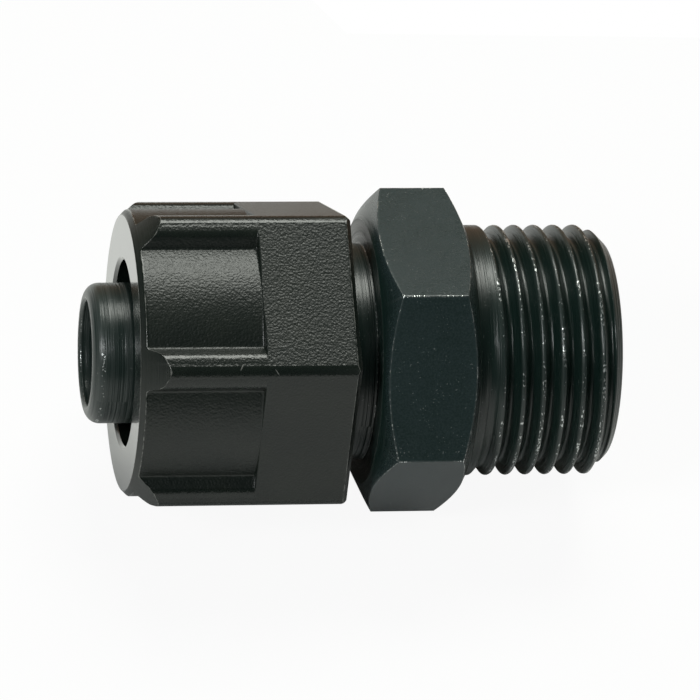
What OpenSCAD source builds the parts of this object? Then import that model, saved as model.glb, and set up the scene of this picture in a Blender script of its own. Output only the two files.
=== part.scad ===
// Straight male hose fitting: a turned body with a hose nozzle, a spanner hexagon and a parallel pipe
// thread, and a moulded union nut that clamps the hose on the nozzle.
// Frame: the flow axis is X, +X towards the port. The origin is on the axis, in the plane of the shoulder
// that seals against the port. The fitting is level here, turned as it comes to rest: left alone it lies
// on a corner of the nut, one of the hexagon and the end of the thread, with the nose about 8 degrees up.

/* [Port thread] */
// Major diameter of the parallel pipe thread, drawn plain (G 3/8: 16.66)
port_thread_d = 16.66; // [13.16:0.01:17.4]
// Length from the shoulder to the end of the thread
port_thread_len = 9.8; // [7:0.1:16]
// Depth of the chamfer at the end of the thread
port_chamfer = 1.1; // [0.3:0.05:1.2]

/* [Spanner hexagon] */
// Length of the hexagon along the axis, with its chamfers
hex_len = 6.5; // [4:0.1:12]
// Distance from a flat to the round faces that the chamfers leave
hex_face_inset = 0.7; // [0.3:0.05:0.8]
// Angle between a chamfer and its face
hex_chamfer_angle = 27; // [15:1:35]

/* [Hose] */
// Inside diameter of the hose that the fitting takes
hose_d = 9; // [7:0.1:10]
// Wall of that hose
hose_wall = 1.5; // [1:0.1:2]
// How much wider than the hose the nozzle is, so that the hose grips
hose_grip = 0.26; // [0:0.02:0.6]
// Radial room round the hose in the nut's hole
hose_clear = 0.15; // [0.05:0.05:0.3]

/* [Hose nozzle] */
// Length of the parallel part of the nozzle, in front of the clamping cone
nozzle_len = 5.8; // [3:0.1:12]
// Wall of the nozzle round the bore that the air flows through
nozzle_wall = 1.13; // [1:0.01:1.6]
// Radius that rounds the nose of the nozzle
nose_r = 0.92; // [0.4:0.02:0.92]
// Angle through which the nose is rounded
nose_angle = 80; // [45:1:80]
// Depth of the chamfer at both mouths of the bore
bore_chamfer = 0.15; // [0.05:0.05:0.2]

/* [Nut thread] */
// Major diameter of the fine thread that carries the nut, drawn plain
nut_thread_d = 16; // [15:0.1:18]
// Length of the fine thread, with its chamfer
nut_thread_len = 7; // [5:0.1:10]
// Depth of the chamfer at the start of the fine thread
nut_thread_chamfer = 0.6; // [0.3:0.05:0.8]
// Radial running clearance of the nut on its thread
thread_clear = 0.06; // [0.02:0.01:0.1]
// Depth of the undercut between the fine thread and the hexagon
undercut_depth = 0.85; // [0.6:0.05:1.2]
// Length of the undercut
undercut_len = 2.6; // [1.5:0.1:4]
// Width of the ring face between the fine thread and the clamping cone
cone_step = 1; // [0.9:0.05:1.5]
// Angle between the clamping cone and the axis
cone_angle = 50; // [35:1:60]

/* [Union nut] */
// Wall of the nut between its thread and its flats, which also sets the size of the spanner
nut_wall = 1.44; // [1.3:0.01:2.5]
// Length of the nut
nut_len = 14.2; // [12.8:0.05:18]
// Free space between the nut and the hexagon
nut_gap = 1.65; // [0.2:0.05:2.4]
// Turn of the nut's corners against those of the hexagon
nut_turn = 25.5; // [5:0.5:55]
// Turn of the nut's lowest corner from straight down
nut_lie = 7; // [0:0.5:30]
// Length of the nut's back part, which is a full hexagon
nut_hex_len = 6.2; // [3:0.05:8]
// Radius of the rounded corners
nut_corner_r = 0.6; // [0.2:0.05:0.8]
// Distance from a flat to the round sleeve between the ribs
sleeve_inset = 0.05; // [0.05:0.01:0.4]
// Width of a rib at its outer edges, before they are rounded
rib_top_w = 2.24; // [1.8:0.02:2.4]
// Width of a rib where it meets the sleeve
rib_foot_w = 2.74; // [2.6:0.02:3.4]
// Radius of the rounded outer edges of a rib
rib_edge_r = 0.65; // [0.2:0.05:0.8]
// Radius of the hollow at the foot of a rib
rib_fillet_r = 0.25; // [0.15:0.05:0.5]
// Distance from a flat to the front face, which a 45 degree cone surrounds
nut_face_inset = 0.4; // [0.3:0.05:1.2]
// Bevel of the back edges
nut_bevel = 0.3; // [0.1:0.05:0.5]

/* [Nut bore] */
// Depth of the chamfer at the mouth of the hose hole
hose_hole_chamfer = 0.2; // [0.1:0.05:0.4]
// Thickness of the nut's front wall at that hole
front_wall = 2.6; // [1.5:0.1:4]
// Angle between the inner cone that presses on the hose and the axis
press_angle = 50; // [35:1:60]
// Depth of the chamfer at the back mouth of the nut's thread
nut_mouth_chamfer = 0.45; // [0.2:0.05:0.6]

/* [Hidden] */
$fn = 96;
over = 1;

// Diameters that follow from the hose and the fine thread
nozzle_d = hose_d + hose_grip;
bore_d = nozzle_d - 2 * nozzle_wall;
hose_hole_d = hose_d + 2 * (hose_wall + hose_clear);
undercut_d = nut_thread_d - 2 * undercut_depth;
cone_d = nut_thread_d - 2 * cone_step;
nut_bore_d = nut_thread_d + 2 * thread_clear;

// Width across the flats of both hexagons, which one spanner fits (19), and what follows from it
spanner_af = nut_bore_d + 2 * nut_wall;
sleeve_d = spanner_af - 2 * sleeve_inset;
nut_face_d = spanner_af - 2 * nut_face_inset;
hex_face_d = spanner_af - 2 * hex_face_inset;
corner_r = spanner_af / sqrt(3);
corner_centre = corner_r - nut_corner_r / cos(30);
corner_touch = corner_centre + nut_corner_r * cos(30);

// Stations along the axis, from the shoulder at 0 back to the nose
hex_back = -hex_len;
undercut_back = hex_back - undercut_len;
nut_thread_back = undercut_back - nut_thread_len;
cone_back = nut_thread_back - (cone_d - nozzle_d) / 2 / tan(cone_angle);
nose_start = cone_back - nozzle_len;
nozzle_end = nose_start - nose_r * sin(nose_angle);
nut_back = hex_back - nut_gap;
nut_step = nut_back - nut_hex_len;
nut_front = nut_back - nut_len;
press_front = nut_front + front_wall;
press_back = press_front + (nut_bore_d - hose_hole_d) / 2 / tan(press_angle);

// Lays what is drawn along Z on the X axis, with the drawing's X axis pointing down
module along_x() {
    rotate([0, 90, 0]) children();
}

// A turned solid from points that give [station, radius]
module turned(outline) {
    along_x() rotate_extrude() polygon([for (p = outline) [p[1], p[0]]]);
}

// The nozzle's nose, rounded by an arc that stops at the lip of the bore
module nose() {
    core_r = nozzle_d / 2 - nose_r;
    nose_len = nose_start - nozzle_end;
    translate([nozzle_end, 0, 0]) along_x() rotate_extrude() intersection() {
        square([nozzle_d / 2, nose_len]);
        union() {
            square([core_r, nose_len]);
            translate([core_r, nose_len]) circle(r = nose_r);
        }
    }
}

// Hexagonal bar with both ends turned off to cones
module spanner_hexagon() {
    reach = corner_r + over;
    back_cone = (reach - hex_face_d / 2) * tan(hex_chamfer_angle);
    intersection() {
        translate([hex_back, 0, 0]) along_x() rotate([0, 0, -nut_lie - nut_turn]) linear_extrude(hex_len)
            circle(r = corner_r, $fn = 6);
        turned([
            [hex_back, 0], [hex_back, hex_face_d / 2], [hex_back + back_cone, reach],
            [-back_cone, reach], [0, hex_face_d / 2], [0, 0]
        ]);
    }
}

// Everything that is turned round the axis on the hose side of the hexagon
module hose_end() {
    nose();
    turned([
        [nose_start, 0], [nose_start, nozzle_d / 2],
        [cone_back, nozzle_d / 2], [nut_thread_back, cone_d / 2],
        [nut_thread_back, nut_thread_d / 2 - nut_thread_chamfer],
        [nut_thread_back + nut_thread_chamfer, nut_thread_d / 2],
        [undercut_back, nut_thread_d / 2], [undercut_back, undercut_d / 2],
        [hex_back + over, undercut_d / 2], [hex_back + over, 0]
    ]);
}

// The port thread's plain cylinder with its end chamfer
module port_end() {
    turned([
        [-over, 0], [-over, port_thread_d / 2],
        [port_thread_len - port_chamfer, port_thread_d / 2],
        [port_thread_len, port_thread_d / 2 - port_chamfer], [port_thread_len, 0]
    ]);
}

// The flow bore, right through, with both mouths chamfered
module flow_bore() {
    mouth = bore_d / 2 + bore_chamfer;
    turned([
        [nozzle_end - over, 0], [nozzle_end - over, mouth], [nozzle_end, mouth],
        [nozzle_end + bore_chamfer, bore_d / 2], [port_thread_len - bore_chamfer, bore_d / 2],
        [port_thread_len, mouth], [port_thread_len + over, mouth], [port_thread_len + over, 0]
    ]);
}

module fitting_body() {
    color([0.13, 0.15, 0.15]) difference() {
        union() {
            hose_end();
            spanner_hexagon();
            port_end();
        }
        flow_bore();
    }
}

// The hexagon of the nut, seen along the axis, with rounded corners
module nut_hexagon() {
    polygon([
        for (i = [0:5], side = [-1, 1])
            let (a = 60 * i, t = side * nut_corner_r / 2)
                [corner_touch * cos(a) - t * sin(a), corner_touch * sin(a) + t * cos(a)]
    ]);
    for (i = [0:5])
        rotate([0, 0, 60 * i]) translate([corner_centre, 0]) circle(r = nut_corner_r);
}

// Fills the foot of a rib, on its +Y side, out to an arc that crosses the rib's flank and the sleeve at a
// small angle, so both ends of the arc are clean
module rib_foot(foot, flank) {
    crossing = 12;
    inset = rib_fillet_r * cos(crossing);
    start = foot + inset * [-flank.y, flank.x];
    reach = sleeve_d / 2 + inset;
    along = sqrt(pow(start * flank, 2) - start * start + reach * reach) - start * flank;
    centre = start + along * flank;
    difference() {
        polygon([foot * 0.9, foot - [0, rib_foot_w / 2], centre - 2 * (centre - foot - along * flank),
            centre, centre * 0.9]);
        translate(centre) circle(r = rib_fillet_r);
    }
}

// Takes off the outer edge of a rib, on its +Y side, down to an arc that crosses the flat and the flank at a
// small angle
module rib_rounding(edge, flank) {
    crossing = 12;
    out = [[cos(30), sin(30)], [-flank.y, flank.x]];
    centre = edge - rib_edge_r * cos(crossing) * (out[0] + out[1]) / (1 + out[0] * out[1]);
    difference() {
        polygon([centre, centre + 2 * rib_edge_r * out[0],
            centre + 2 * rib_edge_r * (out[0] + out[1]) / (1 + out[0] * out[1]), centre + 2 * rib_edge_r * out[1]]);
        translate(centre) circle(r = rib_edge_r);
    }
}

// The pocket between two ribs, seen along the axis, with its middle on +X
module pocket() {
    edge = [corner_r - rib_top_w / 2 * tan(30), rib_top_w / 2];
    foot = [sqrt(pow(sleeve_d / 2, 2) - pow(rib_foot_w / 2, 2)), rib_foot_w / 2];
    flank = (edge - foot) / norm(edge - foot);
    difference() {
        intersection_for(side = [0, 1]) mirror([0, side, 0]) rotate([0, 0, -30])
            polygon([foot - flank, foot + 4 * flank, corner_r * [1, 2], sleeve_d / 2 * [0, 1]]);
        circle(d = sleeve_d);
        for (side = [0, 1]) mirror([0, side, 0]) rotate([0, 0, -30]) rib_foot(foot, flank);
    }
    for (side = [0, 1]) mirror([0, side, 0]) rotate([0, 0, -30]) rib_rounding(edge, flank);
}

// Six pockets round the front part of the nut, which leave the sleeve and a rib at each corner
module pockets() {
    translate([nut_front - over, 0, 0]) along_x() rotate([0, 0, 30 - nut_lie])
        linear_extrude(nut_step - nut_front + over)
            for (i = [0:5]) rotate([0, 0, 60 * i]) pocket();
}

// Cone that takes off the corners round the nut's front face
module front_cone() {
    ring = spanner_af / 2;
    turned([
        [nut_front, 0], [nut_front, nut_face_d / 2], [nut_front + ring, nut_face_d / 2 + ring],
        [nut_back, nut_face_d / 2 + ring], [nut_back, 0]
    ]);
}

// Bar across one pair of flats: its sides slope past them, so they cut only the bevels of the back edges
module bevel_bar() {
    ends = [nut_front - over, nut_back + over];
    half = [for (x = ends) spanner_af / 2 - nut_bevel + nut_back - x];
    translate([0, spanner_af, 0]) rotate([90, 0, 0]) linear_extrude(2 * spanner_af)
        polygon([[ends[0], -half[0]], [ends[1], -half[1]], [ends[1], half[1]], [ends[0], half[0]]]);
}

// Space inside the nut: the hose hole, the cone that presses on the hose, and the plain thread
module nut_space() {
    turned([
        [nut_front - over, 0], [nut_front - over, hose_hole_d / 2 + hose_hole_chamfer],
        [nut_front, hose_hole_d / 2 + hose_hole_chamfer],
        [nut_front + hose_hole_chamfer, hose_hole_d / 2], [press_front, hose_hole_d / 2],
        [press_back, nut_bore_d / 2], [nut_back - nut_mouth_chamfer, nut_bore_d / 2],
        [nut_back, nut_bore_d / 2 + nut_mouth_chamfer], [nut_back + over, nut_bore_d / 2 + nut_mouth_chamfer],
        [nut_back + over, 0]
    ]);
}

module union_nut() {
    color([0.1, 0.1, 0.1]) difference() {
        intersection() {
            translate([nut_front, 0, 0]) along_x() rotate([0, 0, -nut_lie])
                linear_extrude(nut_len) nut_hexagon();
            front_cone();
            intersection_for(i = [0:2]) rotate([30 - nut_lie + 60 * i, 0, 0]) bevel_bar();
        }
        pockets();
        nut_space();
    }
}

fitting_body();
union_nut();
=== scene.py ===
import math

import bpy
from mathutils import Matrix, Vector


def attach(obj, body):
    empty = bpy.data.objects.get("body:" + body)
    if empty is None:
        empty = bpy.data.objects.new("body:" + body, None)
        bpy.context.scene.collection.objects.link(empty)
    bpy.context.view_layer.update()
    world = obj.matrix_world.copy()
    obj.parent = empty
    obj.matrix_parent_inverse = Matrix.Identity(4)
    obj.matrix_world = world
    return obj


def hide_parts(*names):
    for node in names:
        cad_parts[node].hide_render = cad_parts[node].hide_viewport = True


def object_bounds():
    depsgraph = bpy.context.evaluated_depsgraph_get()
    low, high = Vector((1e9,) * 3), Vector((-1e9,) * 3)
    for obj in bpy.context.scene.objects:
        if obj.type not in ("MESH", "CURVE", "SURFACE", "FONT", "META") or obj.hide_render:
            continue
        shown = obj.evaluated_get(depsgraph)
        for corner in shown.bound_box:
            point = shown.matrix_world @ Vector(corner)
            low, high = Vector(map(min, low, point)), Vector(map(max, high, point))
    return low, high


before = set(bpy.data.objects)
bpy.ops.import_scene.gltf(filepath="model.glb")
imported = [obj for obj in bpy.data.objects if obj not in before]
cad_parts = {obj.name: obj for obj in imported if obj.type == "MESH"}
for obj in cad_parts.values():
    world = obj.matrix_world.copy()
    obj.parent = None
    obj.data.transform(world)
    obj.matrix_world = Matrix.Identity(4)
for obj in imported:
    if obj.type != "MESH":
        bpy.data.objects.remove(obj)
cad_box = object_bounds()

# Camera
# A long lens from the nose side, 44 degrees above the table, as close as the photograph was taken.

CAMERA_PLACE = (-0.07016, -0.25395, 0.24455)
camera_data = bpy.data.cameras.new("camera")
camera_data.sensor_width = 36
camera_data.lens = 277.7
camera_data.clip_start, camera_data.clip_end = 0.01, 20
camera = bpy.data.objects.new("camera", camera_data)
to_right = Vector((0.9843, -0.1324, 0.1164)).normalized()
to_back = Vector((-0.1761, -0.7092, 0.6827)).normalized()
to_up = to_back.cross(to_right).normalized()
to_right = to_up.cross(to_back)
camera_axes = Matrix((to_right, to_up, to_back)).transposed().to_4x4()
camera.matrix_world = Matrix.Translation(CAMERA_PLACE) @ camera_axes
bpy.context.scene.collection.objects.link(camera)
bpy.context.scene.camera = camera


# Fitting body
# One piece of aluminium hexagon bar: turned, bored through, both threads cut on the lathe, then bead
# blasted and anodised black. Handling has knocked the anodising off the sharpest edges and thread crests.

MM = 0.001
SPANNER_AF = 19.0
BODY_CORNER_AT = 57.5
BODY_CORNER_R = 0.1
HEX_FRONT = -6.5
HEX_MIDDLE = -3.25
HEX_FACE_R = 8.8
HEX_CHAMFER = math.tan(math.radians(27))
BORE_R = 3.5
BORE_CHAMFER = 0.15
BORE_MOUTH = -24.645
BORE_ROWS = (3.0, -10.0, -20.0)
NOZZLE_R = 4.63
NOZZLE_TIP, NOZZLE_MIDDLE, NOZZLE_ROOT = -24.793, -21.0, -18.089
NOSE_R = 0.92
NOSE_AT = -23.889
NOSE_FLAT_R = 3.87
NOSE_ARC, NOSE_ARC_STEP = 72, 8
NOSE_WORN_TO, NOSE_WEAR = 28, 0.7
CLAMP_END = -16.1
CLAMP_R = 7.0
SHOULDER_R = 7.4
FINE_R = 8.0
FINE_PITCH = 1.0
FINE_FRONT, FINE_BACK = -15.5, -9.1
UNDERCUT_R = 7.15
UNDERCUT_MIDDLE = -8.0
PORT_R = 8.33
PORT_PITCH = 1.337
PORT_END = 9.8
PORT_CHAMFER = 1.1
PORT_FACE_MIDDLE = 5.5
BODY_ANGLE_STEP = 1.875
ROUNDING_STEPS = 4
ROUNDING_EASE = 0.1
ROUNDING_SHARE, EASE_SHARE = 0.42, 0.47
EDGE_FADE = 0.35
CORNER_WEAR, CORNER_WORN_TO = 0.76, 0.3
CREST_WEAR = 0.75


def round_edge(before, at, after, radius):
    """Points of a rounded edge in a lathe outline of (station, radius), with one plain point either side
    that keeps the shading of the faces flat. Each point says how much of the edge it is."""
    a, b = Vector(before) - Vector(at), Vector(after) - Vector(at)
    a_long, b_long = a.length, b.length
    a, b = a / a_long, b / b_long
    half = a.angle(b) / 2
    inset = min(radius / math.tan(half), ROUNDING_SHARE * a_long, ROUNDING_SHARE * b_long)
    radius = inset * math.tan(half)
    centre = Vector(at) + (a + b).normalized() * radius / math.sin(half)
    start, end = Vector(at) + a * inset, Vector(at) + b * inset
    u, v = start - centre, end - centre
    turn = math.pi - 2 * half
    points = [(*(Vector(at) + a * min(inset + ROUNDING_EASE, EASE_SHARE * a_long)), 0.0)]
    for i in range(ROUNDING_STEPS + 1):
        t = i / ROUNDING_STEPS
        p = centre + (u * math.sin((1 - t) * turn) + v * math.sin(t * turn)) / math.sin(turn)
        points.append((*p, 1.0 - EDGE_FADE * abs(2 * t - 1)))
    points.append((*(Vector(at) + b * min(inset + ROUNDING_EASE, EASE_SHARE * b_long)), 0.0))
    return points


def lathe_outline(corners):
    """Walks a closed outline of (station, radius, edge rounding) and rounds every edge. Where the rounding is
    0 the point stays as it is, and a fourth number says how worn it is."""
    points = []
    for i, (x, r, rounding, *wear) in enumerate(corners):
        before, after = corners[i - 1], corners[(i + 1) % len(corners)]
        if rounding == 0:
            points.append((x, r, *(wear or [0.0])))
        else:
            points += round_edge(before[:2], (x, r), after[:2], rounding)
    return points


def rows(first, last, per_mm, radius):
    """Plain points in even steps along a cylinder, close enough for a thread to be cut into them."""
    return [(first + i / per_mm, radius, 0) for i in range(int((last - first) * per_mm + 0.001) + 1)]


def hexagon_reach(turn, corner_r):
    """Distance from the axis to a hexagon with rounded corners, at an angle from one corner."""
    turn = math.radians(abs((turn + 30) % 60 - 30))
    half_af = SPANNER_AF / 2
    centre = half_af / math.cos(math.pi / 6) - corner_r / math.cos(math.pi / 6)
    touch = math.atan2(corner_r / 2, centre + corner_r * math.cos(math.pi / 6))
    if turn < touch:
        return centre * math.cos(turn) + math.sqrt(corner_r ** 2 - (centre * math.sin(turn)) ** 2)
    return half_af / math.cos(math.pi / 6 - turn)


def ring_angles(step, corner_at, near_corner):
    """Angles round the axis: even steps, with a set of angles of their own beside each of six corners."""
    special = [(corner_at + 60 * k + a) % 360 for k in range(6) for a in near_corner]
    gap = 0.45 * step
    even = [step * i for i in range(round(360 / step))]
    even = [a for a in even if min(abs((a - s + 180) % 360 - 180) for s in special) > gap]
    return sorted(even + special)


def ring_mesh(name, angles, outline_at):
    """Closed skin through one closed outline per angle. outline_at gives (station, radius, edge) points in
    millimetres, as many at every angle; the third number is kept as the attribute edge."""
    points, faces, edges = [], [], []
    for angle in angles:
        outline = outline_at(angle)
        a = math.radians(angle)
        for x, r, edge in outline:
            points.append((x * MM, r * math.cos(a) * MM, r * math.sin(a) * MM))
            edges.append(edge)
    long, around = len(outline), len(angles)
    for j in range(around):
        here, there = j * long, (j + 1) % around * long
        for i in range(long):
            k = (i + 1) % long
            faces.append((here + i, here + k, there + k, there + i))
    mesh = bpy.data.meshes.new(name)
    mesh.from_pydata(points, [], faces)
    mesh.attributes.new("edge", "FLOAT", "POINT").data.foreach_set("value", edges)
    mesh.shade_smooth()
    return mesh


def nose_points():
    """The nozzle's rounded nose, a little worn where it enters the hose."""
    points = []
    for degrees in range(NOSE_ARC, -1, -NOSE_ARC_STEP):
        t = math.radians(degrees)
        worn = NOSE_WEAR if 0 < degrees < NOSE_WORN_TO else 0.0
        points.append((NOSE_AT - NOSE_R * math.sin(t), NOZZLE_R - NOSE_R + NOSE_R * math.cos(t), 0, worn))
    return points


def body_outline(angle):
    """The body's outline at one angle, from the bore's front mouth over the outside and back down it."""
    reach = hexagon_reach(angle - BODY_CORNER_AT, BODY_CORNER_R)
    cone = (reach - HEX_FACE_R) * HEX_CHAMFER
    chamfer_cuts = [i / 19 * PORT_CHAMFER for i in range(18)]
    chamfer_rows = [(PORT_END - PORT_CHAMFER + cut, PORT_R - cut, 0) for cut in chamfer_cuts]
    return lathe_outline([
        (BORE_MOUTH, BORE_R, 0.04), (NOZZLE_TIP, BORE_R + BORE_CHAMFER, 0.04),
        (NOZZLE_TIP, NOSE_FLAT_R, 0.03), *nose_points(), (NOZZLE_MIDDLE, NOZZLE_R, 0),
        (NOZZLE_ROOT, NOZZLE_R, 0.2), (CLAMP_END, CLAMP_R, 0.05), (CLAMP_END, SHOULDER_R, 0.04),
        (FINE_FRONT, FINE_R, 0.05), *rows(FINE_FRONT + 0.2, FINE_BACK - 0.2, 13, FINE_R),
        (FINE_BACK, FINE_R, 0.06), (FINE_BACK, UNDERCUT_R, 0.1), (UNDERCUT_MIDDLE, UNDERCUT_R, 0),
        (HEX_FRONT, UNDERCUT_R, 0.06), (HEX_FRONT, HEX_FACE_R, 0.05), (HEX_FRONT + cone, reach, 0.06),
        (HEX_MIDDLE, reach, 0), (-cone, reach, 0.06), (0, HEX_FACE_R, 0.05), (0, PORT_R, 0.06),
        *rows(0.2, 8.6, 24 / PORT_PITCH, PORT_R), *chamfer_rows,
        (PORT_END, PORT_R - PORT_CHAMFER, 0.05), (PORT_END, PORT_FACE_MIDDLE, 0),
        (PORT_END, BORE_R + BORE_CHAMFER, 0.05), (PORT_END - BORE_CHAMFER, BORE_R, 0.04),
        *((x, BORE_R, 0) for x in BORE_ROWS),
    ])


class Wire:
    """One output of a node. Sums written with it become Math nodes in its own tree."""

    def __init__(self, bench, socket):
        self.bench, self.socket = bench, socket

    def math(self, operation, *terms):
        return self.bench.add("ShaderNodeMath", {"operation": operation}, dict(enumerate(terms)))[0]

    def __add__(self, other):
        return self.math("ADD", self, other)

    def __radd__(self, other):
        return self.math("ADD", other, self)

    def __sub__(self, other):
        return self.math("SUBTRACT", self, other)

    def __rsub__(self, other):
        return self.math("SUBTRACT", other, self)

    def __mul__(self, other):
        return self.math("MULTIPLY", self, other)

    def __rmul__(self, other):
        return self.math("MULTIPLY", other, self)

    def __truediv__(self, other):
        return self.math("DIVIDE", self, other)

    def __rtruediv__(self, other):
        return self.math("DIVIDE", other, self)

    def __pow__(self, other):
        return self.math("POWER", self, other)

    def __rpow__(self, other):
        return self.math("POWER", other, self)

    def __lt__(self, other):
        return self.math("LESS_THAN", self, other)

    def __gt__(self, other):
        return self.math("GREATER_THAN", self, other)

    def __abs__(self):
        return self.math("ABSOLUTE", self)

    def least(self, other):
        return self.math("MINIMUM", self, other)

    def most(self, other):
        return self.math("MAXIMUM", self, other)

    def root(self):
        return self.math("SQRT", self)

    def nearest(self):
        return self.math("ROUND", self)

    def bearing(self, across):
        """Angle in radians of a point that is this far up and so far across."""
        return self.math("ARCTAN2", self, across)

    def ramp(self, low, high):
        """0 below low, 1 above high, and a smooth step between them; low may be the larger."""
        inputs = {"Value": self, "From Min": low, "From Max": high}
        return self.bench.add("ShaderNodeMapRange", {"interpolation_type": "SMOOTHSTEP"}, inputs)["Result"]


class Bench:
    """A node tree that nodes are laid out in."""

    def __init__(self, tree):
        self.tree = tree

    def add(self, kind, settings, inputs):
        """Adds a node. Its settings are set first, then each socket, found by number, identifier or name,
        gets a value or a link. Returns the node's outputs as wires, found in the same way."""
        node = self.tree.nodes.new(kind)
        for name, value in settings.items():
            setattr(node, name, value)
        for name, value in inputs.items():
            socket = self.find(node.inputs, name)
            if isinstance(value, Wire):
                self.tree.links.new(value.socket, socket)
            else:
                socket.default_value = value
        return Outputs(self, node)

    @staticmethod
    def find(sockets, name):
        if isinstance(name, int):
            return sockets[name]
        return next(s for s in sockets if name in (s.identifier, s.name) and s.enabled)


class Outputs:
    """The outputs of one node."""

    def __init__(self, bench, node):
        self.bench, self.node = bench, node

    def __getitem__(self, name):
        return Wire(self.bench, Bench.find(self.node.outputs, name))


def thread_cutter():
    """Geometry Nodes tree that cuts a rounded 55 degree thread into rows of a blank, as a single point tool
    does. Side is 1 to cut inwards from the major radius and -1 to cut outwards from a bore."""
    tree = bpy.data.node_groups.new("cut thread", "GeometryNodeTree")
    tree.interface.new_socket("Geometry", in_out="INPUT", socket_type="NodeSocketGeometry")
    for name in ("Pitch", "Crest radius", "Depth", "Start", "End", "Run-out", "Crest station", "Side"):
        tree.interface.new_socket(name, in_out="INPUT", socket_type="NodeSocketFloat")
    tree.interface.new_socket("Material", in_out="INPUT", socket_type="NodeSocketMaterial")
    tree.interface.new_socket("Geometry", in_out="OUTPUT", socket_type="NodeSocketGeometry")
    bench = Bench(tree)
    sizes = bench.add("NodeGroupInput", {}, {})
    pitch, crest_r, depth = sizes["Pitch"], sizes["Crest radius"], sizes["Depth"]
    start, end, side = sizes["Start"], sizes["End"], sizes["Side"]

    place = bench.add("ShaderNodeSeparateXYZ", {}, {0: bench.add("GeometryNodeInputPosition", {}, {})[0]})
    x, y, z = place["X"], place["Y"], place["Z"]
    radius = (y * y + z * z).root()
    turn = z.bearing(y) / (2 * math.pi)
    groove_0 = sizes["Crest station"] + pitch * (turn + 0.5)
    groove = groove_0 + ((x - groove_0) / pitch).nearest() * pitch
    aside = abs(x - groove)
    to_crest = pitch * 0.5 - aside

    half_angle = math.radians(27.5)
    tip_r = 0.1373 * pitch
    arc = tip_r * math.cos(half_angle)
    root_arc = tip_r - (tip_r * tip_r - aside.least(tip_r) ** 2.0).most(0.0).root()
    crest_arc = depth - tip_r + (tip_r * tip_r - to_crest.least(tip_r) ** 2.0).most(0.0).root()
    flank = depth * 0.5 + (aside - pitch * 0.25) / math.tan(half_angle)
    on_flank = (aside > arc) * (to_crest > arc)
    rise = (aside < arc) * root_arc + on_flank * flank + (to_crest < arc) * crest_arc

    cut = (depth - rise) * groove.ramp(start, start + sizes["Run-out"]) * (groove < end)
    wanted = crest_r - cut * side
    kept = wanted.least(radius) * (side > 0.0) + wanted.most(radius) * (side < 0.0)
    in_length = (x > start - pitch * 0.25) * (x < end + pitch * 0.5)
    on_blank = in_length * (abs(radius - crest_r) < depth * 1.3)
    scale = kept / radius
    moved = bench.add("ShaderNodeCombineXYZ", {}, {"X": x, "Y": y * scale, "Z": z * scale})[0]
    threaded = bench.add("GeometryNodeSetPosition", {}, {
        "Geometry": sizes["Geometry"], "Selection": on_blank, "Position": moved})

    worn = bench.add("GeometryNodeInputNamedAttribute", {"data_type": "FLOAT"}, {"Name": "edge"})["Attribute"]
    on_crest = (cut < depth * 0.2) * (radius > crest_r - depth * 0.3)
    crest = on_blank * (to_crest / pitch).ramp(0.18, 0.06) * on_crest
    on_thread = crest * (x > start + pitch * 0.5) * CREST_WEAR
    marked = bench.add("GeometryNodeStoreNamedAttribute", {"data_type": "FLOAT", "domain": "POINT"}, {
        "Geometry": threaded["Geometry"], "Name": "edge", "Value": worn.most(on_thread)})
    solid = bench.add("GeometryNodeRealizeInstances", {}, {"Geometry": marked["Geometry"]})
    coated = bench.add("GeometryNodeSetMaterial", {}, {
        "Geometry": solid["Geometry"], "Material": sizes["Material"]})
    bench.add("NodeGroupOutput", {}, {"Geometry": coated["Geometry"]})
    return tree


def cut_threads(name, blank, tree, threads, material):
    """Cuts each thread into the blank and returns the finished piece as plain mesh."""
    blank_object = bpy.data.objects.new(name + "_blank", blank)
    bpy.context.scene.collection.objects.link(blank_object)
    for sizes in threads:
        modifier = blank_object.modifiers.new("thread", "NODES")
        modifier.node_group = tree
        for item in tree.interface.items_tree:
            if item.in_out == "INPUT" and item.name in sizes:
                modifier[item.identifier] = sizes[item.name]
            elif item.in_out == "INPUT" and item.name == "Material":
                modifier[item.identifier] = material
    evaluated = blank_object.evaluated_get(bpy.context.evaluated_depsgraph_get())
    mesh = bpy.data.meshes.new_from_object(evaluated)
    bpy.data.objects.remove(blank_object)
    mesh.name = name
    mesh.shade_smooth()
    piece = bpy.data.objects.new(name, mesh)
    bpy.context.scene.collection.objects.link(piece)
    return piece


def fresh_bench(owner):
    """An empty bench on a material or a world."""
    owner.use_nodes = True
    owner.node_tree.nodes.clear()
    return Bench(owner.node_tree)


def lathe_place(bench):
    """A point's place on the piece, its station along the axis, its radius and its bearing in radians."""
    place = bench.add("ShaderNodeTexCoord", {}, {})["Object"]
    apart = bench.add("ShaderNodeSeparateXYZ", {}, {0: place})
    x, y, z = apart["X"], apart["Y"], apart["Z"]
    return place, x, (y * y + z * z).root(), z.bearing(y)


def vector(bench, x, y, z):
    """Three numbers as one vector."""
    return bench.add("ShaderNodeCombineXYZ", {}, {"X": x, "Y": y, "Z": z})[0]


def noise(bench, place, scale, detail, roughness=0.5):
    """Soft random grain around 0.5, with so many grains to the metre."""
    inputs = {"Vector": place, "Scale": scale, "Detail": detail, "Roughness": roughness}
    return bench.add("ShaderNodeTexNoise", {}, inputs)[0]


def blend(bench, share, colour, other):
    """One colour passing into another as the share goes from 0 to 1."""
    inputs = {"Factor_Float": share, "A_Color": colour, "B_Color": other}
    return bench.add("ShaderNodeMix", {"data_type": "RGBA"}, inputs)["Result_Color"]


def mark(bench, name):
    """What the mesh says of each point under a name."""
    return bench.add("ShaderNodeAttribute", {"attribute_name": name}, {})["Fac"]


HOSED_TO, HOSED_FROM = -17.9, -18.5
DYED_TURNED = (0.005, 0.014, 0.0115, 1)
DYED_BLASTED = (0.0235, 0.037, 0.038, 1)
BARE_ALUMINIUM = (0.56, 0.58, 0.57, 1)


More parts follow.
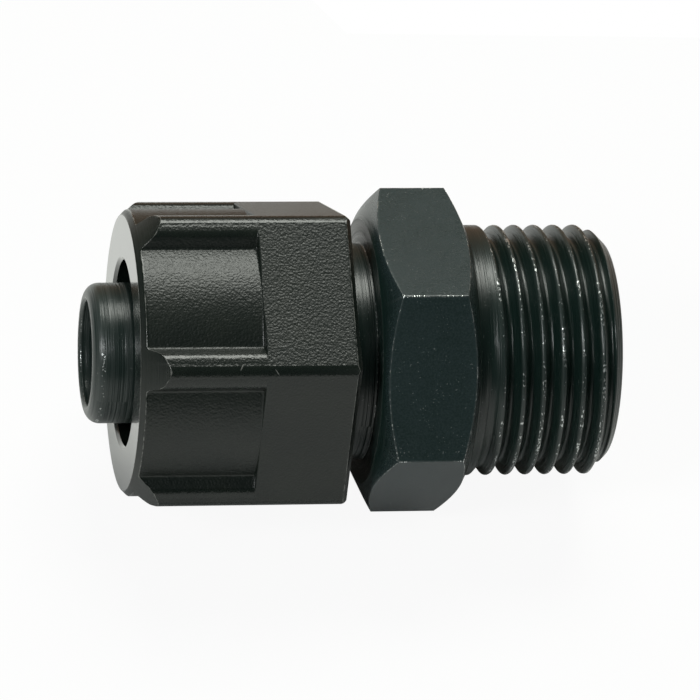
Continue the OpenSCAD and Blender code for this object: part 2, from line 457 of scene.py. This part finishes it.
def anodised_metal():
    """Bead blasted, black anodised aluminium: nearly black with a cool cast, fine rings where a tool turned
    it, bare bright metal where an edge is knocked, and a nozzle that hoses have rubbed a little paler."""
    material = bpy.data.materials.new("black_anodised_metal")
    bench = fresh_bench(material)
    place, x, radius, turn = lathe_place(bench)
    flat, edge = mark(bench, "flat"), mark(bench, "edge")
    turned = 1.0 - flat

    along = vector(bench, x, radius, turn * 0.00004)
    fine = noise(bench, along, 11000.0, 2.0, 0.6)
    feed = noise(bench, along, 3200.0, 2.0, 0.6)
    grain = noise(bench, place, 14000.0, 2.0)
    blasted = noise(bench, place, 8000.0, 3.0)
    cloud = noise(bench, place, 260.0, 3.0)

    chips = noise(bench, vector(bench, x, radius, turn * 0.0035), 9500.0, 1.0)
    runs = noise(bench, place, 800.0, 1.0)
    bare = ((edge * 1.2).least(1.0) * (chips + runs * 0.6 - 0.3)).ramp(0.53, 0.61)
    dust = noise(bench, place, 9000.0, 0.0)
    fleck = dust.ramp(0.74, 0.8) * runs.ramp(0.45, 0.6)
    hosed = x.ramp(HOSED_TO * MM, HOSED_FROM * MM) * (0.35 + feed.ramp(0.4, 0.65))

    matt = flat * (0.4 + 0.2 * cloud.ramp(0.3, 0.7) + 0.45 * blasted.ramp(0.3, 0.7))
    dyed = blend(bench, matt, DYED_TURNED, DYED_BLASTED)
    rubbed = bare.most(fleck * 0.14).most(edge * 0.03).most(hosed * 0.03)
    colour = blend(bench, rubbed, dyed, BARE_ALUMINIUM)
    roughness = 0.37 + turned * (0.16 * (feed - 0.5) - 0.05) + 0.1 * (grain - 0.5) - 0.12 * flat
    height = turned * (fine * 0.4 + feed) + grain * (0.02 + 0.1 * flat) - bare * 0.05
    bump = bench.add("ShaderNodeBump", {}, {
        "Strength": 0.8, "Distance": 0.1 * MM, "Height": height})["Normal"]
    shader = bench.add("ShaderNodeBsdfPrincipled", {}, {
        "Base Color": colour, "Metallic": bare * 0.9, "Roughness": roughness, "IOR": 1.5, "Normal": bump})
    bench.add("ShaderNodeOutputMaterial", {}, {"Surface": shader["BSDF"]})
    return material


body_angles = ring_angles(BODY_ANGLE_STEP, BODY_CORNER_AT, (-0.75, -0.27, -0.13, 0, 0.13, 0.27, 0.75))
body_blank = ring_mesh("fitting_body_blank", body_angles, body_outline)
edge_values = body_blank.attributes["edge"].data
flat_values = body_blank.attributes.new("flat", "FLOAT", "POINT").data
points_long = len(body_outline(0.0))
for k, vertex in enumerate(body_blank.vertices):
    from_corner = abs((body_angles[k // points_long] - BODY_CORNER_AT + 30) % 60 - 30)
    on_facet = math.hypot(vertex.co.y, vertex.co.z) / MM > SPANNER_AF / 2 - 0.2
    if on_facet and HEX_FRONT < vertex.co.x / MM < 0:
        flat_values[k].value = 1.0
        if from_corner < CORNER_WORN_TO:
            edge_values[k].value = max(edge_values[k].value, CORNER_WEAR)
black_metal = anodised_metal()
port_thread = {
    "Pitch": PORT_PITCH * MM, "Crest radius": PORT_R * MM, "Depth": 0.856 * MM, "Start": 0.75 * MM,
    "End": 12.0 * MM, "Run-out": 0.9 * MM, "Crest station": (2.63 - PORT_PITCH * 46.09 / 360) * MM,
    "Side": 1.0}
fine_thread = {
    "Pitch": FINE_PITCH * MM, "Crest radius": FINE_R * MM, "Depth": 0.6 * MM, "Start": -17.0 * MM,
    "End": (FINE_BACK - 0.2) * MM, "Run-out": 0.2 * MM, "Crest station": 0.0, "Side": 1.0}
thread_tool = thread_cutter()
fitting_body = cut_threads(
    "fitting_body_skin", body_blank, thread_tool, [port_thread, fine_thread], black_metal)
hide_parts("fitting_body")
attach(fitting_body, "body")


# Union nut
# Moulded in one piece from black glass filled nylon, with a spark textured mould. A spanner turns its
# hexagonal back; six ribs on a round sleeve give fingers a grip; it screws onto the body's fine thread.

NUT_CORNER_AT = 83.0
NUT_CORNER_R = 0.95
NUT_BACK, NUT_STEP, NUT_FRONT = -8.15, -14.35, -22.35
NUT_BEVEL = 0.3
NUT_HEX_ROWS = (-14.0, -11.5)
NUT_RIB_ROWS = (-18.5, -16.5, -14.6)
NUT_ANGLE_STEP = 1.5
STEP_ROUNDING = 0.12
STEP_SLOPE = 0.03
STEP_POINTS = 9
SLEEVE_R = 9.45
FACE_R = 9.1
FACE_MIDDLE_R = 7.6
HOSE_HOLE_R = 6.15
HOSE_HOLE_END = -19.75
HOSE_HOLE_CHAMFER = 0.2
NUT_BORE_R = 8.06
NUT_BORE_START = -18.15
NUT_BORE_CHAMFER = 0.45
RIB_EDGE = Vector((10.323, 1.12))
RIB_FOOT = Vector((9.350, 1.37))
RIB_EDGE_R = 0.9
RIB_FOOT_R = 0.25
RIB_WORN = (3.0, 6.6)
NUT_CORNER_WORN_TO = 2.1
NUT_WEAR_AND_HIGHLIGHT = 0.52
POLISHED_R = 8.0
OUT_OF_THE_WAY = 99.0


def rib_reach(turn):
    """Distance from the axis to the ribbed sleeve at an angle from a rib's middle: the hexagon's flat, a
    rounded edge, a flank with a little draft, a small hollow and the sleeve."""
    turn = abs((turn + 30) % 60 - 30)
    ray = Vector((math.cos(math.radians(turn)), math.sin(math.radians(turn))))
    flank = (RIB_EDGE - RIB_FOOT).normalized()
    outwards = Vector((-flank.y, flank.x))
    flat = Vector((math.cos(math.pi / 6), 0.5))
    start = RIB_FOOT + outwards * RIB_FOOT_R
    reach = SLEEVE_R + RIB_FOOT_R
    along = math.sqrt(start.dot(flank) ** 2 - start.length_squared + reach ** 2) - start.dot(flank)
    hollow = start + along * flank
    hollow_top = hollow - outwards * RIB_FOOT_R
    bulge = RIB_EDGE - RIB_EDGE_R * (flat + outwards) / (1 + flat.dot(outwards))
    edge_low, edge_high = bulge + outwards * RIB_EDGE_R, bulge + flat * RIB_EDGE_R

    def bearing(point):
        return math.degrees(math.atan2(point.y, point.x))

    if turn >= bearing(hollow):
        return SLEEVE_R
    if turn > bearing(hollow_top):
        along_ray = ray.dot(hollow)
        return along_ray - math.sqrt(max(along_ray ** 2 - hollow.length_squared + RIB_FOOT_R ** 2, 0))
    if turn > bearing(edge_low):
        return RIB_FOOT.dot(outwards) / ray.dot(outwards)
    if turn > bearing(edge_high):
        along_ray = ray.dot(bulge)
        return along_ray + math.sqrt(max(along_ray ** 2 - bulge.length_squared + RIB_EDGE_R ** 2, 0))
    return OUT_OF_THE_WAY


def pocket_step(front, hexagon):
    """The step from the ribbed sleeve up to the hexagon, with a small hollow and a small round edge."""
    soft = min(STEP_ROUNDING, (hexagon - front) / 2)
    points = []
    for i in reversed(range(STEP_POINTS)):
        t = i / (STEP_POINTS - 1)
        aside, along = (1, t) if t <= 0.5 else (-1, 1 - t)
        a = math.pi * along
        near = hexagon if t <= 0.5 else front
        x = NUT_STEP + aside * soft * (1 - math.sin(a)) + STEP_SLOPE * (0.5 - t)
        points.append((x, near - aside * soft * (1 - math.cos(a)), 0))
    return points


def nut_outline(angle):
    """The nut's outline at one angle, from the mouth of the hose hole over the outside and back through
    the bore."""
    turn = angle - NUT_CORNER_AT
    hexagon = hexagon_reach(turn, NUT_CORNER_R)
    front = min(rib_reach(turn), hexagon)
    across = math.cos(math.radians(30 - abs((turn + 30) % 60 - 30)))
    bevel = hexagon * across - (SPANNER_AF / 2 - NUT_BEVEL)
    cone_x = NUT_FRONT + front - FACE_R
    bore_rows = rows(-17.8, -9.2, 10, NUT_BORE_R)
    return lathe_outline([
        (NUT_FRONT, HOSE_HOLE_R + HOSE_HOLE_CHAMFER, 0.05), (NUT_FRONT, FACE_MIDDLE_R, 0),
        (NUT_FRONT, FACE_R, 0.06), (cone_x, front, 0.12), *((x, front, 0) for x in NUT_RIB_ROWS),
        *pocket_step(front, hexagon), *((x, hexagon, 0) for x in NUT_HEX_ROWS),
        (NUT_BACK - bevel, hexagon, 0.1), (NUT_BACK, hexagon - bevel / across, 0.08),
        (NUT_BACK, NUT_BORE_R + NUT_BORE_CHAMFER, 0.05), (NUT_BACK - NUT_BORE_CHAMFER, NUT_BORE_R, 0.04),
        *reversed(bore_rows), (NUT_BORE_START, NUT_BORE_R, 0.05), (HOSE_HOLE_END, HOSE_HOLE_R, 0.05),
        (NUT_FRONT + HOSE_HOLE_CHAMFER, HOSE_HOLE_R, 0.04),
    ])


NYLON_DARK = (0.0055, 0.009, 0.007, 1)
NYLON_LIGHT = (0.0085, 0.012, 0.009, 1)
# Pale grey of the scuffs, which along the rounded edges is also a painted highlight.
NYLON_SCUFF_AND_HIGHLIGHT = (0.24, 0.24, 0.225, 1)
NICKS = ((-16.05, 141.5, 0.5), (-13.74, 143.2, -0.7))
NICK_WIDTH, NICK_REACH = 0.05, 1.3


def moulded_plastic():
    """Black glass filled nylon from a spark textured mould, with scuffs along its edges and two nicks on one
    rib; the scuffs along the edges are painted paler than scuffs alone, as a painted highlight along them.
    The front cone was turned in the mould, and the front face and the bore are polished and glossy."""
    material = bpy.data.materials.new("black_moulded_plastic")
    bench = fresh_bench(material)
    place, x, radius, turn = lathe_place(bench)
    edge, gloss = mark(bench, "edge"), mark(bench, "gloss")
    cone_from = NUT_FRONT - FACE_R
    turned = (x - radius).ramp((cone_from + 0.05) * MM, (cone_from + 0.01) * MM)

    rings = noise(bench, vector(bench, x, radius, 0.0), 8000.0, 2.0)
    grain = noise(bench, place, 5600.0, 3.0)
    cells = bench.add("ShaderNodeTexVoronoi", {"feature": "SMOOTH_F1"}, {
        "Vector": place, "Scale": 6600.0, "Smoothness": 0.5})["Distance"]
    cloud = noise(bench, place, 350.0, 3.0)
    scuff = noise(bench, place, 2400.0, 3.0)

    nicked = 0.0
    for station, bearing, lean in NICKS:
        round_by = turn * (180 / math.pi) - bearing
        across = (x / MM - station) + round_by * 0.17 * lean
        deep = (1.0 - abs(across) / NICK_WIDTH).most(0.0) * (1.0 - abs(round_by) / NICK_REACH).most(0.0)
        nicked = deep.most(nicked)
    # Edge scuffs and the two nicks: partly real scuffs and partly a painted highlight along the rounded
    # edges.
    scuffed_and_highlighted = (edge * (scuff + 0.15)).ramp(0.42, 0.7).most(nicked.ramp(0.05, 0.4))

    tone = blend(bench, cloud.ramp(0.3, 0.7), NYLON_DARK, NYLON_LIGHT)
    colour = blend(bench, scuffed_and_highlighted * 0.6, tone, NYLON_SCUFF_AND_HIGHLIGHT)
    textured, polished = 0.37 + 0.1 * (grain - 0.5) - 0.18 * edge, 0.16 + 0.05 * (cloud - 0.5)
    roughness = textured * (1.0 - gloss) + polished * gloss
    sparked = (grain * 0.8 + cells * 0.7) * (1.0 - gloss * 0.97)
    height = sparked * (1.0 - turned * 0.85) * (1.0 - edge * 0.9) + rings * turned * 0.5
    bump = bench.add("ShaderNodeBump", {}, {
        "Strength": 0.8, "Distance": 0.033 * MM, "Height": height})["Normal"]
    shader = bench.add("ShaderNodeBsdfPrincipled", {}, {
        "Base Color": colour, "Roughness": roughness, "IOR": 1.47, "Normal": bump,
        "Coat Weight": gloss * 0.8, "Coat Roughness": 0.12})
    bench.add("ShaderNodeOutputMaterial", {}, {"Surface": shader["BSDF"]})
    return material


near_rib = [0, 0.4, 0.8, 1.2, 1.6, 2.0, 2.35, 2.7, 3.4, 4.1, 4.5]
near_rib += [4.8 + 0.3 * i for i in range(8)] + [7.1, 7.3, 7.6, 7.9]
near_rib += [8.05 + 0.15 * i for i in range(8)] + [9.3, 9.8]
nut_angles = ring_angles(NUT_ANGLE_STEP, NUT_CORNER_AT, [-a for a in near_rib[:0:-1]] + near_rib)
nut_blank = ring_mesh("union_nut_blank", nut_angles, nut_outline)
gloss_values = nut_blank.attributes.new("gloss", "FLOAT", "POINT").data
edge_values = nut_blank.attributes["edge"].data
for k, vertex in enumerate(nut_blank.vertices):
    station, r = vertex.co.x / MM, math.hypot(vertex.co.y, vertex.co.z) / MM
    turn = math.degrees(math.atan2(vertex.co.z, vertex.co.y))
    from_corner = abs((turn - NUT_CORNER_AT + 30) % 60 - 30)
    # Rib edges and hexagon corners get more edge: smoother, and paler as scuffs and as a painted highlight.
    on_rib_edge = station < NUT_STEP and RIB_WORN[0] < from_corner < RIB_WORN[1]
    handled = on_rib_edge or from_corner < NUT_CORNER_WORN_TO
    if station < NUT_FRONT + 0.001 and r < FACE_R or r < POLISHED_R:
        gloss_values[k].value = 1.0
    elif r > SLEEVE_R + RIB_FOOT_R and station < NUT_BACK - 0.4 and handled:
        edge_values[k].value = max(edge_values[k].value, NUT_WEAR_AND_HIGHLIGHT)
black_nylon = moulded_plastic()
nut_thread = {
    "Pitch": FINE_PITCH * MM, "Crest radius": NUT_BORE_R * MM, "Depth": 0.55 * MM, "Start": -17.4 * MM,
    "End": -8.9 * MM, "Run-out": 0.3 * MM, "Crest station": FINE_PITCH / 2 * MM, "Side": -1.0}
union_nut = cut_threads("union_nut_skin", nut_blank, thread_tool, [nut_thread], black_nylon)
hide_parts("union_nut")
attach(union_nut, "nut")


# Table and studio
# A white sheet on a brown table, under one large soft light up and behind and a small one at the nose end,
# in a room that is dark on the side that the camera stands on.

WHITE = (1, 1, 1, 1)
SHEET_WHITE = (0.8, 0.8, 0.79, 1)
SHEET = ((-0.4, -0.4), (0.4, -0.4), (0.4, 0.04), (0.0, 0.045), (-0.03, 0.1), (-0.4, 0.3))
SHEET_SHOWN, SHEET_MIRRORED, ROOM_MIRRORED = 0.93, 0.28, 0.05
# Patch of painted shadow in the sheet's reflections: its middle and half length along X, and its widths
# across.
PAINTED_SHADOW_MIDDLE, PAINTED_SHADOW_LONG, PAINTED_SHADOW_WIDE = -0.006, 0.026, (0.024, 0.012)
TABLE_BROWN = (0.305, 0.179, 0.105, 1)
WALL_GREY = (0.084, 0.095, 0.084, 1)
ROOM_DARK = (0.0, 0.0105, 0.0105, 1)

floor_mesh = bpy.data.meshes.new("floor")
floor_mesh.from_pydata([(x, y, cad_box[0].z) for x, y in SHEET], [], [range(len(SHEET))])
floor = bpy.data.objects.new("floor", floor_mesh)
bpy.context.scene.collection.objects.link(floor)
sheet_paint = bpy.data.materials.new("white_sheet")
bench = fresh_bench(sheet_paint)
path = bench.add("ShaderNodeLightPath", {}, {})
spot = bench.add("ShaderNodeSeparateXYZ", {}, {0: bench.add("ShaderNodeTexCoord", {}, {})["Object"]})
# Painted shadow: in reflections the sheet's white is darkened in a patch under the part, standing in for its
# shadow.
painted_shadow_length = (1.0 - abs(spot["X"] - PAINTED_SHADOW_MIDDLE) / PAINTED_SHADOW_LONG).ramp(0.0, 0.4)
painted_shadow = abs(spot["Y"]).ramp(*PAINTED_SHADOW_WIDE) * painted_shadow_length
bright = SHEET_MIRRORED * (1.0 - 0.95 * painted_shadow)
mirrored = path["Is Glossy Ray"].most(path["Is Transmission Ray"]) * bright
seen = path["Is Camera Ray"].most(mirrored)
matt = bench.add("ShaderNodeBsdfDiffuse", {}, {"Color": SHEET_WHITE})["BSDF"]
white = bench.add("ShaderNodeEmission", {}, {"Color": WHITE, "Strength": 1.0})["Emission"]
mixed = bench.add("ShaderNodeMixShader", {}, {0: seen * SHEET_SHOWN, 1: matt, 2: white})[0]
bench.add("ShaderNodeOutputMaterial", {}, {"Surface": mixed})
floor_mesh.materials.append(sheet_paint)

world = bpy.data.worlds.new("studio")
bpy.context.scene.world = world
bench = fresh_bench(world)
path = bench.add("ShaderNodeLightPath", {}, {})
direction = bench.add("ShaderNodeTexCoord", {}, {})["Generated"]
apart = bench.add("ShaderNodeSeparateXYZ", {}, {0: direction})
behind = apart["Y"].ramp(0.0, 0.6) * apart["X"].ramp(-0.7, -0.3)
above = apart["Z"].ramp(0.2, 0.62)
room = blend(bench, behind, ROOM_DARK, blend(bench, above, TABLE_BROWN, WALL_GREY))
mirrored = path["Is Glossy Ray"].most(path["Is Transmission Ray"]) * ROOM_MIRRORED
shown = blend(bench, path["Is Camera Ray"].most(mirrored), room, WHITE)
background = bench.add("ShaderNodeBackground", {}, {"Color": shown})[0]
bench.add("ShaderNodeOutputWorld", {}, {"Surface": background})


def soft_light(name, place, aim, width, depth, watts, colour):
    """A softbox at a place in metres, turned to face another."""
    lamp = bpy.data.lights.new(name, "AREA")
    lamp.shape, lamp.size, lamp.size_y, lamp.energy, lamp.color = "RECTANGLE", width, depth, watts, colour
    holder = bpy.data.objects.new(name, lamp)
    holder.location = place
    holder.rotation_euler = (Vector(aim) - Vector(place)).to_track_quat("-Z", "Y").to_euler()
    bpy.context.scene.collection.objects.link(holder)


PART_MIDDLE = (-0.008, 0, 0)
soft_light("key_light", (0.08, 0.415, 0.855), PART_MIDDLE, 0.5, 0.41, 7.2, (0.97, 1, 0.93))
soft_light("nose_light", (-0.554, -0.407, 0.581), PART_MIDDLE, 0.2, 0.2, 4.0, (0.97, 1, 1))

bpy.context.scene.view_settings.view_transform = "Standard"
